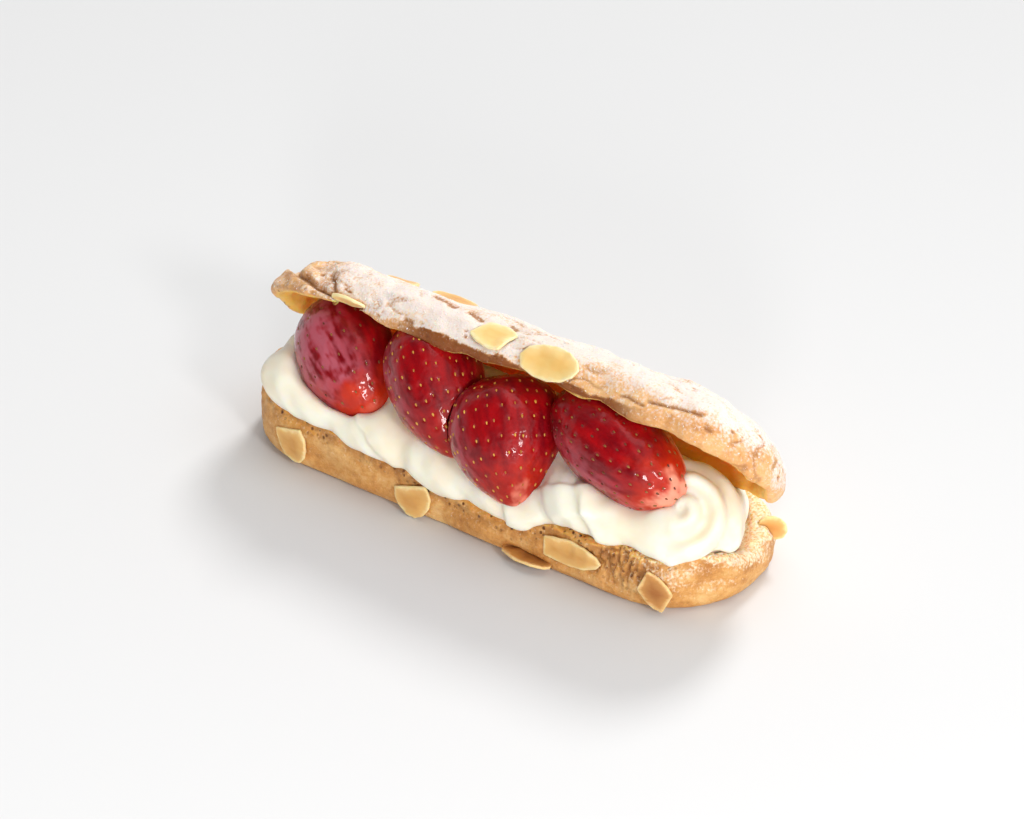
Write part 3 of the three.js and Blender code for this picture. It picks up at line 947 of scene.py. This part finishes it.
@dataclass
class PipedCream(Piece):
    """Soft cream that overlaps the base's rim and ends in a rosette at the right."""

    finish: CreamFinish
    berries: Sequence[bpy.types.Object]
    node: str = "cream"
    voxel: float = 0.5 * MM
    rounds: int = 36
    swell: float = 0.5 * MM
    calm_rounds: int = 97
    rosette: Vector = BUN + Vector((53.2, -5.8, 14.2)) * MM
    facing: Vector = Vector((0.35, -0.57, 0.74)).normalized()
    radius: float = 15.5 * MM
    pitch: float = 5.8 * MM
    start: float = math.radians(163)
    rib: float = 0.8 * MM
    fold_pitch: float = 1.15 * MM
    fold_depth: float = 0.13 * MM
    wave_depth: float = 0.3 * MM
    laps: Sequence[Crease] = (
        Crease((-32, -2), (-22.5, -7)),
        Crease((13.6, -5), (16, -10.5)),
        Crease((32.8, 3.4), (20.4, -0.4)),
        Crease((32, 5), (36.3, -1)),
        Crease((25.3, -7.6), (38, -3)),
        Crease((38, -3), (41, -6)),
    )

    def build(self) -> list[bpy.types.Object]:
        """Makes the cream.

        Returns:
            The cream alone.
        """
        cream = Sculpture(self.node, "cream_piping", self.voxel, self.rounds)
        across, _, _ = self.seen_from_rosette(cream.points)
        cream.relax(self.calm_rounds, across < -0.15 * self.radius)
        points = cream.points
        slant = (points[:, 0] + 0.9 * points[:, 2]) / self.fold_pitch
        folds = np.sin(slant + 2.5 * ripple(points, 16 * MM))
        folds *= smoothstep(-points[:, 1], 8 * MM, 16 * MM)
        heights = self.swell + self.rib * self.ribs_at(points) + self.laps_at(points)
        heights += self.fold_depth * folds + self.wave_depth * ripple(points, 7 * MM, 2)
        cream.raise_by(heights)
        cream.mark(Trait.STAIN, self.stain_at(cream.points))
        return [cream.dress(self.finish.material())]

    def laps_at(self, points: np.ndarray) -> np.ndarray:
        """The steps where one piped lobe lies over the next.

        Args:
            points: The cream's points.

        Returns:
            The height at each point, with the laps laid out along the bun and up a slope of 45 degrees.
        """
        offset = points - np.array(BUN) + 0.6 * MM * ripple(points, 5 * MM, 2)[:, None]
        flat = np.stack([offset[:, 0], (offset[:, 1] + offset[:, 2]) / math.sqrt(2)], axis=1)
        laps = sum(MM * crease.depth * crease.fold(flat) for crease in self.laps)
        return laps * smoothstep(-points[:, 1], 8 * MM, 14 * MM)

    def ribs_at(self, points: np.ndarray) -> np.ndarray:
        """The rosette's ribs, which spiral out from its middle.

        Args:
            points: The cream's points.

        Returns:
            The height at each point, from -1 in a groove to 1 on a rib.
        """
        across, along, out = self.seen_from_rosette(points)
        reach = np.hypot(across, along)
        turned = (self.start - np.arctan2(along, across)) / math.tau
        ribs = np.cos(math.tau * (reach / self.pitch - turned))
        shown = smoothstep(out, 0, 0.4 * self.radius)
        shown *= smoothstep(across, -0.2 * self.radius, 0.15 * self.radius)
        return shown * ribs * (1 - smoothstep(reach, 0.8 * self.radius, self.radius))

    def seen_from_rosette(self, points: np.ndarray) -> tuple[np.ndarray, np.ndarray, np.ndarray]:
        """Measures points from the rosette's middle.

        Args:
            points: One point a row.

        Returns:
            How far each lies to the right of it, above it and out in front of it.
        """
        right = Vector((0, 0, 1)).cross(self.facing).normalized()
        up = self.facing.cross(right)
        offset = points - np.array(self.rosette)
        return tuple(offset @ np.array(axis) for axis in (right, up, self.facing))

    def stain_at(self, points: np.ndarray) -> np.ndarray:
        """Works out where berry juice has run.

        Args:
            points: The cream's points.

        Returns:
            How much has reached each point.
        """
        skins = np.concatenate([rows(berry.data.vertices, "co") for berry in self.berries])
        away = distances(points, skins)
        patches = smoothstep(ripple(points, 6 * MM), -0.3, 0.5)
        return 0.3 * np.exp(-away / (1.2 * MM)) * (0.3 + 0.7 * patches)


@dataclass
class Strawberry(Piece):
    """Half a strawberry, cut face down, with seeds set in dimples.

    Its crown and tip are given in millimetres from the middle of the bun.
    """

    finish: BerryFinish
    number: int
    crown: Vector
    tip: Vector
    width: float
    depth: float
    taper: float
    point: float
    roll: float
    pale_tip: float = 0.0
    bare_tip: float = 0.0
    # How much painted reflection veils the berry's flank.
    reflected_haze: float = 0.0
    seed_pitch: float = 3.1 * MM
    voxel: float = 0.3 * MM
    rounds: int = 5
    wave_depth: float = 0.45 * MM
    grain_depth: float = 0.05 * MM
    dimple: float = 0.22 * MM
    dimple_reach: float = 0.62 * MM
    seed_size: Vector = Vector((0.44, 0.24, 0.2)) * MM
    seed_lift: float = 0.06 * MM
    seed_margin: float = 0.8 * MM
    slope: Vector = Vector((0, -0.757, 0.654))

    def __post_init__(self) -> None:
        """Works out the berry's own frame: X from crown to tip, Z out of the cut face."""
        axis = (self.tip - self.crown) * MM
        self.half = axis.length / 2
        axis.normalize()
        side = self.slope.cross(axis).normalized()
        outward = axis.cross(side)
        turn = Matrix((axis, side, outward)).transposed().to_4x4()
        middle = BUN + (self.crown + self.tip) / 2 * MM
        self.frame = Matrix.Translation(middle) @ turn @ Matrix.Rotation(math.radians(self.roll), 4, "X")
        self.seeds: list[Matrix] = []

    def build(self) -> list[bpy.types.Object]:
        """Makes the berry and notes where its seeds go.

        Returns:
            The berry alone.
        """
        node = f"strawberry_{self.number}"
        berry = Sculpture(node, f"{node}_glazed", self.voxel, self.rounds)
        berry.points = self.rounded(berry.points)
        points = berry.points
        waves = self.wave_depth * ripple(points, 9 * MM, 2)
        berry.raise_by(waves + self.grain_depth * ripple(points, 1.2 * MM, 2))
        self.sink_seeds(berry, self.seed_spots(berry))
        local = self.local(points)
        streaks = ripple(local, (9 * MM, 1.8 * MM, 1.8 * MM), 3)
        along = local[:, 0] / self.half + 0.25 * ripple(points, 6 * MM, 2) + 0.1 * streaks
        cut = smoothstep(-local[:, 2], -1.2 * MM, 0.1 * MM)
        across = 2 * local[:, 1] / self.width
        left = smoothstep(-across, 0.35, 0.9)
        # Painted reflection: a streaky pinkish sheen on each berry's left flank, and over most of berry
        # 1.
        reflection_veil = smoothstep(streaks + 0.6 * ripple(points, 2.5 * MM, 2), -0.6, 0.35)
        hazy_reflection = self.reflected_haze * (1 - smoothstep(across, -0.1, 0.7)) * (1 - smoothstep(along, 0.3, 0.8))
        berry.mark(Trait.BLUSH, 0.5 + 0.7 * streaks + 0.4 * ripple(points, 8 * MM))
        berry.mark(Trait.REFLECTED_HAZE, np.maximum(hazy_reflection, 0.6 * left) * reflection_veil)
        berry.mark(Trait.PALE, self.pale_tip * smoothstep(along, 0.3, 0.9))
        berry.mark(Trait.FLESH, np.maximum(cut, self.bare_tip * smoothstep(along, 0.8, 1.02)))
        return [berry.dress(self.finish.material())]

    def local(self, points: np.ndarray) -> np.ndarray:
        """Points as seen from the berry's own frame."""
        return moved(points, self.frame.inverted())

    def girth_at(self, along: np.ndarray) -> np.ndarray:
        """How wide the berry is, next to a plain oval, from -1 at its crown to 1 at its tip."""
        return 1 - self.taper * along - self.point * np.maximum(along, 0) ** 2

    def scale_at(self, local: np.ndarray) -> np.ndarray:
        """How far out from the axis points lie.

        Args:
            local: The berry's points in its own frame.

        Returns:
            The share of the way to the berry's skin, for each point.
        """
        girth = self.girth_at(np.clip(local[:, 0] / self.half, -1, 1))
        lengths = np.full(len(local), self.half)
        sizes = np.stack([lengths, girth * self.width / 2, girth * self.depth], axis=1)
        return np.linalg.norm(local / sizes, axis=1)

    def rounded(self, points: np.ndarray) -> np.ndarray:
        """Moves the skin on to one smooth curve.

        Args:
            points: The berry's points.

        Returns:
            The points, with those of the skin moved.
        """
        local = self.local(points)
        out = self.scale_at(local)
        skin = smoothstep(out, 0.9, 0.95)
        local *= (1 + skin * (1 / np.maximum(out, 0.5) - 1))[:, None]
        return moved(local, self.frame)

    def seed_spots(self, berry: Sculpture) -> list[int]:
        """The vertices where seeds sit, in staggered rings round the skin.

        Args:
            berry: The berry's mesh.

        Returns:
            One vertex for each seed.
        """
        tree = search_tree(berry.points)
        draw = np.random.default_rng(self.number)
        spots: list[int] = []
        rings = round(2 * self.half / (0.8 * self.seed_pitch))
        for ring in range(1, rings):
            along = math.cos(math.pi * ring / rings)
            girth = math.sin(math.pi * ring / rings) * self.girth_at(along)
            count = max(2, round(math.pi * girth * (self.width / 2 + self.depth) / 2 / self.seed_pitch))
            for step in range(count):
                angle = math.pi * (step + 0.5 * (ring % 2) + 0.25 + draw.uniform(-0.26, 0.26)) / count
                spot = Vector((
                    self.half * (along + draw.uniform(-0.03, 0.03)),
                    self.width / 2 * girth * math.cos(angle),
                    self.depth * girth * math.sin(angle),
                ))
                _, index, away = tree.find(self.frame @ spot)
                if away < self.seed_margin and spot.z > self.seed_margin:
                    spots.append(index)
        return spots

    def sink_seeds(self, berry: Sculpture, spots: Sequence[int]) -> None:
        """Presses a dimple at each spot and notes a seed's place in it.

        Args:
            berry: The berry's mesh.
            spots: The vertices where seeds sit.
        """
        points = berry.points
        away = distances(points, points[spots])
        berry.raise_by(-self.dimple * np.exp(-((away / self.dimple_reach) ** 2)))
        dimpled = berry.points
        normals = berry.normals
        axis = self.frame.to_3x3() @ Vector((1, 0, 0))
        draw = np.random.default_rng(100 + self.number)
        for index in spots:
            normal = Vector(normals[index])
            long = (axis - axis.dot(normal) * normal).normalized()
            turn = Matrix((long, normal.cross(long), normal)).transposed()
            scale = self.seed_size * draw.uniform(0.85, 1.15)
            centre = Vector(dimpled[index]) + self.seed_lift * normal
            self.seeds.append(Matrix.LocRotScale(centre, turn.to_quaternion(), scale))


@dataclass
class BerrySeeds(Piece):
    """The seeds of some of the strawberries, which are built before."""

    name: str
    finish: GrainFinish
    halves: Sequence[Strawberry]

    def build(self) -> list[bpy.types.Object]:
        """Makes the seeds as one piece.

        Returns:
            The seeds alone.
        """
        shape = bmesh.new()
        bmesh.ops.create_icosphere(shape, subdivisions=2, radius=1)
        for vertex in shape.verts:
            vertex.co.y *= 1 - 0.35 * vertex.co.x
        places = [place for half in self.halves for place in half.seeds]
        seeds = scattered(self.name, mesh_of("seed", shape), places)
        return [dressed(seeds, self.finish.material())]


@dataclass
class AlmondFlakes(Piece):
    """Sliced almonds of one colour that are baked into one half of the bun."""

    finish: AlmondFinish
    prefix: str
    numbers: Sequence[int]
    voxel: float = 0.22 * MM
    rounds: int = 4
    warp: float = 0.35 * MM
    heart: float = 3 * MM

    def build(self) -> list[bpy.types.Object]:
        """Makes the flakes."""
        material = self.finish.material()
        return [self.flake(f"{self.prefix}_{number}", material) for number in self.numbers]

    def flake(self, node: str, material: bpy.types.Material) -> bpy.types.Object:
        """Makes one flake.

        Args:
            node: The flake's node in the frame.
            material: The almonds' look.

        Returns:
            The flake.
        """
        flake = Sculpture(node, f"{node}_flake", self.voxel, self.rounds)
        points = flake.points
        offset = points - points.mean(axis=0)
        _, _, axes = np.linalg.svd(offset, full_matrices=False)
        edges = points[np.abs(flake.normals @ axes[2]) < 0.5]
        inside = np.clip(distances(points, edges) / self.heart, 0, 1)
        wave = ripple(points, 5 * MM, 2)
        flake.points = points + self.warp * wave[:, None] * axes[2]
        flake.mark(Trait.HEART, inside)
        return flake.dress(material)


@dataclass
class IcingSugar(Piece):
    """Clumps of icing sugar on the lid, where its dust is thick."""

    finish: GrainFinish
    lid: bpy.types.Object
    count: int = 5000
    smallest: float = 0.08 * MM
    largest: float = 0.26 * MM
    seed: int = 7

    def build(self) -> list[bpy.types.Object]:
        """Makes the clumps as one piece.

        Returns:
            The clumps alone.
        """
        mesh = self.lid.data
        dust = np.empty(len(mesh.vertices), np.float32)
        mesh.attributes[Trait.DUST.value].data.foreach_get("value", dust)
        draw = np.random.default_rng(self.seed)
        chosen = draw.choice(len(dust), self.count, p=dust / dust.sum(dtype=float))
        places = []
        for index in chosen.tolist():
            vertex = mesh.vertices[index]
            size = self.smallest + (self.largest - self.smallest) * draw.random() ** 3
            scale = (size, size * draw.uniform(0.7, 1), size * draw.uniform(0.5, 0.8))
            places.append(place_on(vertex.co, vertex.normal, draw.uniform(0, math.tau), scale))
        clump = small_ball("sugar_clump", roughness=0.25, seed=self.seed)
        sugar = scattered("icing_sugar", clump, places)
        return [dressed(sugar, self.finish.material())]


@dataclass
class Softbox:
    """A square lamp that shines on the eclair."""

    name: str
    towards: Vector
    distance: float
    size: float
    power: float

    def build(self) -> None:
        """Puts the lamp in its place."""
        lamp = bpy.data.lights.new(self.name, "AREA")
        lamp.shape = "SQUARE"
        lamp.size = self.size
        lamp.energy = self.power
        holder = put(self.name, lamp)
        direction = self.towards.normalized()
        holder.location = direction * self.distance
        holder.rotation_euler = direction.to_track_quat("Z", "Y").to_euler()
        holder.visible_camera = False


@dataclass
class Studio:
    """The pale floor, the soft light and the camera."""

    azimuth: float = math.radians(36)
    elevation: float = math.radians(34)
    distance: float = 683.5 * MM
    focal_pixels: float = 2700.0
    image_width: float = 1024.0
    focus: Vector = BUN + Vector((-0.25, -1.08, 0)) * MM
    aim: Vector = BUN + Vector((-0.05, -0.93, 24.3)) * MM
    sensor: float = 36.0
    clip_start: float = 10 * MM
    floor_side: float = 6.0
    floor_colour: Colour = (0.73, 0.73, 0.73, 1.0)
    sky_strength: float = 0.62
    flag_strength: float = 0.05
    flag_towards: Vector = Vector((-0.49, -0.65, 0.58))
    flag_edge: float = math.cos(math.radians(50))
    flag_core: float = math.cos(math.radians(22))
    key_towards: Vector = Vector((-0.12, 0.74, 0.67))
    key_strength: float = 1.7
    key_angle: float = math.radians(14)

    def build(self) -> None:
        """Sets the stage, the lights and the camera."""
        self.floor()
        self.sky()
        self.key()
        Softbox("overhead", Vector((0.1, 0.25, 1)), distance=1.1, size=0.9, power=3.0).build()
        Softbox("right_front", Vector((0.85, -0.4, 0.5)), distance=1.0, size=0.15, power=3.0).build()
        Softbox("front", Vector((0.55, -0.8, 0.25)), distance=1.0, size=0.15, power=3.4).build()
        self.camera()
        bpy.context.scene.view_settings.view_transform = "Standard"

    def floor(self) -> None:
        """Lays a plain floor under the eclair."""
        shape = bmesh.new()
        bmesh.ops.create_grid(shape, x_segments=1, y_segments=1, size=self.floor_side / 2)
        floor = put("floor", mesh_of("floor", shape))
        material = bpy.data.materials.new("pale_floor")
        graph = Graph(material)
        graph.set(base_color=self.floor_colour, roughness=0.9, specular_ior_level=0.1)
        floor.data.materials.append(material)

    def sky(self) -> None:
        """Fills the room with even light, apart from a dark flag at the front left."""
        world = bpy.data.worlds.new("room")
        graph = Graph(world, "Background")
        inputs = {"Vector": graph.place("Generated"), "Vector_001": self.flag_towards.normalized()}
        closeness = graph.node("VectorMath", "Value", inputs, operation="DOT_PRODUCT")
        strengths = (self.sky_strength, self.flag_strength)
        strength = graph.span(closeness, self.flag_edge, self.flag_core, *strengths)
        graph.set(color=(1, 1, 1, 1), strength=strength)
        bpy.context.scene.world = world

    def key(self) -> None:
        """Adds the main light, from behind the bun."""
        lamp = bpy.data.lights.new("key", "SUN")
        lamp.energy = self.key_strength
        lamp.angle = self.key_angle
        holder = put("key", lamp)
        holder.rotation_euler = self.key_towards.to_track_quat("Z", "Y").to_euler()

    def camera(self) -> None:
        """Looks down on the open side from the right."""
        data = bpy.data.cameras.new("camera")
        data.sensor_width = self.sensor
        data.lens = self.sensor * self.focal_pixels / self.image_width
        data.clip_start = self.clip_start
        camera = put("camera", data)
        back = Vector((
            math.sin(self.azimuth) * math.cos(self.elevation),
            -math.cos(self.azimuth) * math.cos(self.elevation),
            math.sin(self.elevation),
        ))
        camera.location = self.focus + back * self.distance
        camera.rotation_euler = (camera.location - self.aim).to_track_quat("Z", "Y").to_euler()
        bpy.context.scene.camera = camera


BASE_CRUST = CrustFinish(
    "base_crust",
    pale=srgb(236, 192, 128),
    golden=srgb(216, 156, 86),
    brown=srgb(184, 120, 58),
    crumb=srgb(236, 172, 90),
    # The pit and pore colours are painted shade, in the band under the cream, the burst patch and its
    # hole.
    pit_shade=srgb(144, 86, 36),
    pore_shade=srgb(104, 58, 24),
    sugar=srgb(254, 240, 214),
    glow=0.2,
)
LID_CRUST = CrustFinish(
    "lid_crust",
    pale=srgb(242, 198, 144),
    golden=srgb(232, 176, 114),
    brown=srgb(210, 146, 84),
    # The crumb colour is the hollow side's gold, lightened as painted light for the glow through the
    # thin shell.
    crumb=srgb(255, 200, 102),
    # The pit and pore colours are painted shade, in cracks, splits, dips, pores and the cut edge under
    # the lip.
    pit_shade=srgb(140, 80, 36),
    pore_shade=srgb(150, 88, 42),
    sugar=srgb(238, 228, 221),
    glow=0.25,
)
VANILLA_CREAM = CreamFinish(
    "vanilla_cream",
    body=srgb(254, 246, 229),
    shade=srgb(250, 236, 213),
    stained=srgb(246, 186, 176),
)
GLAZED_BERRY = BerryFinish(
    "glazed_strawberry",
    deep=srgb(120, 4, 16),
    bright=srgb(168, 10, 18),
    pale=srgb(206, 50, 14),
    flesh=srgb(246, 164, 136),
    # The haze colour is a painted reflection of the glaze's sheen.
    reflected_haze=srgb(184, 90, 104),
)
GOLDEN_SEED = GrainFinish(
    "golden_seed",
    light=srgb(220, 166, 70),
    dark=srgb(170, 96, 36),
    patch=4 * MM,
    roughness=0.35,
)
DULL_SEED = GrainFinish(
    "dull_seed",
    light=srgb(156, 104, 48),
    dark=srgb(104, 44, 24),
    patch=4 * MM,
    roughness=0.4,
)
SUGAR = GrainFinish(
    "sugar",
    light=srgb(244, 238, 232),
    dark=srgb(234, 224, 216),
    patch=2 * MM,
    roughness=0.9,
    glow=0.3,
)
ALMONDS = {
    AlmondTone.PALE: AlmondFinish(
        "pale_almond",
        heart=srgb(250, 198, 118),
        body=srgb(255, 216, 146),
        rim=srgb(255, 232, 182),
    ),
    AlmondTone.GOLDEN: AlmondFinish(
        "golden_almond",
        heart=srgb(218, 158, 84),
        body=srgb(234, 184, 110),
        rim=srgb(250, 220, 162),
    ),
    AlmondTone.BROWN: AlmondFinish(
        "brown_almond",
        heart=srgb(168, 104, 48),
        body=srgb(202, 144, 78),
        rim=srgb(246, 208, 146),
    ),
}

# The almonds of each colour, by the half of the bun that they lie on.
FLAKES = (
    (AlmondTone.PALE, "lid_almond", (1, 2, 3, 6, 7)),
    # Lid almonds 4 and 5 are golden rather than pale partly as painted shade.
    (AlmondTone.GOLDEN, "lid_almond", (4, 5)),
    (AlmondTone.GOLDEN, "base_almond", (1, 2, 3, 5, 7, 8)),
    # Base almond 6 is brown as painted shade, where it lies in the base's shadow; 4 is brown as toasted.
    (AlmondTone.BROWN, "base_almond", (4, 6)),
)


def strawberries() -> list[Strawberry]:
    """The four halves, left to right."""
    return [
        Strawberry(
            GLAZED_BERRY, 1, Vector((-59, -2.2, 35.6)), Vector((-29.5, -17.2, 18.6)), width=26 * MM,
            depth=11 * MM, taper=0.15, point=0.15, roll=-4, pale_tip=0.9, bare_tip=0.15, reflected_haze=1,
            seed_pitch=4.4 * MM,
        ),
        Strawberry(
            GLAZED_BERRY, 2, Vector((-28, -1.5, 40.5)), Vector((-2.2, -20.3, 19.2)), width=24.5 * MM,
            depth=12 * MM, taper=0.26, point=0.15, roll=-10, pale_tip=0.2,
        ),
        Strawberry(
            GLAZED_BERRY, 3, Vector((0, -5.8, 36.2)), Vector((17.8, -23.8, 14.6)), width=28.5 * MM,
            depth=12.5 * MM, taper=0.24, point=0.25, roll=-10, pale_tip=0.4, bare_tip=0.5,
        ),
        Strawberry(
            GLAZED_BERRY, 4, Vector((17.5, -4.8, 36.4)), Vector((58, -13.8, 26.6)), width=23 * MM,
            depth=12 * MM, taper=0.06, point=0, roll=-4, pale_tip=0.7, bare_tip=0.9,
        ),
    ]


def report(pieces: Sequence[bpy.types.Object]) -> Sequence[bpy.types.Object]:
    """Logs what was made.

    Args:
        pieces: The finished pieces.

    Returns:
        The same pieces.
    """
    for piece in pieces:
        piece.data.calc_loop_triangles()
        log.info("made %s, %d triangles", piece.name, len(piece.data.loop_triangles))
    return pieces


def main() -> None:
    """Builds the eclair piece by piece, then the studio round it."""
    logging.basicConfig(level=logging.INFO, format="%(name)s: %(message)s")
    halves = strawberries()
    berries = [piece for half in halves for piece in report(half.build())]
    report(BerrySeeds("golden_seeds", GOLDEN_SEED, halves[1:3]).build())
    report(BerrySeeds("dull_seeds", DULL_SEED, halves[::3]).build())
    [cream] = report(PipedCream(VANILLA_CREAM, berries).build())
    report(ChouxBase(BASE_CRUST, cream).build())
    [lid] = report(ChouxLid(LID_CRUST).build())
    report(IcingSugar(SUGAR, lid).build())
    for almond_tone, prefix, numbers in FLAKES:
        report(AlmondFlakes(ALMONDS[almond_tone], prefix, numbers).build())
    Studio().build()


if __name__ == "__main__":
    main()
